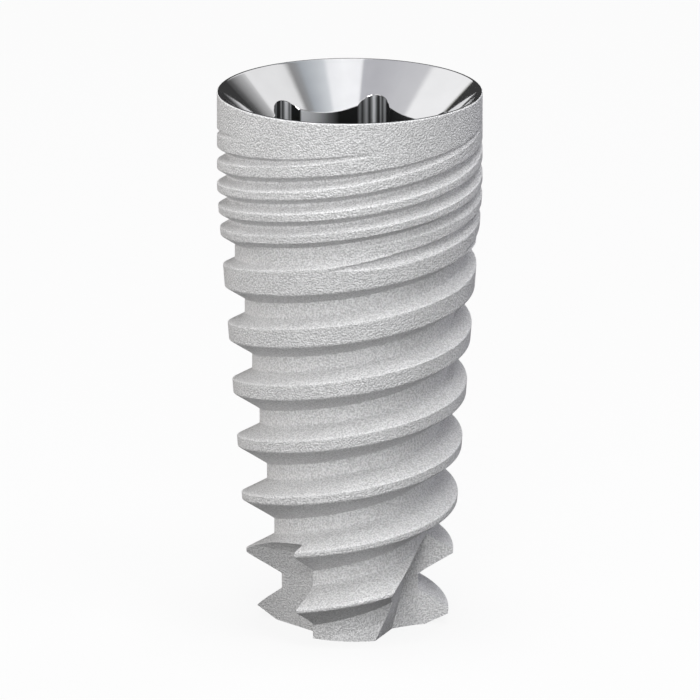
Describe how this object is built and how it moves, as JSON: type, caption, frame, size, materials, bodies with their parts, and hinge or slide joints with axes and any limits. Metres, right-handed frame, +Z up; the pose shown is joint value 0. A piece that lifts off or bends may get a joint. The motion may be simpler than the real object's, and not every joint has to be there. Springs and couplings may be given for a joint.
{
  "type": "dental implant",
  "caption": "Tapered screw-type dental implant: blasted thread with micro-thread collar, polished conical mouth, internal hex, screw bore and cutting flutes at a flat apex.",
  "frame": {"origin": "centre of the flat apex, which the implant stands on", "axes": "+Z up the implant's axis, from the apex to the platform; -Y faces the picture's camera; +X to its right"},
  "size_m": [0.0038, 0.0038, 0.0078],
  "materials": {
    "blasted_titanium": "matt, grit-blasted and etched"
  },
  "bodies": {
    "root": {"implant_body": "blasted_titanium"}
  },
  "joints": []
}
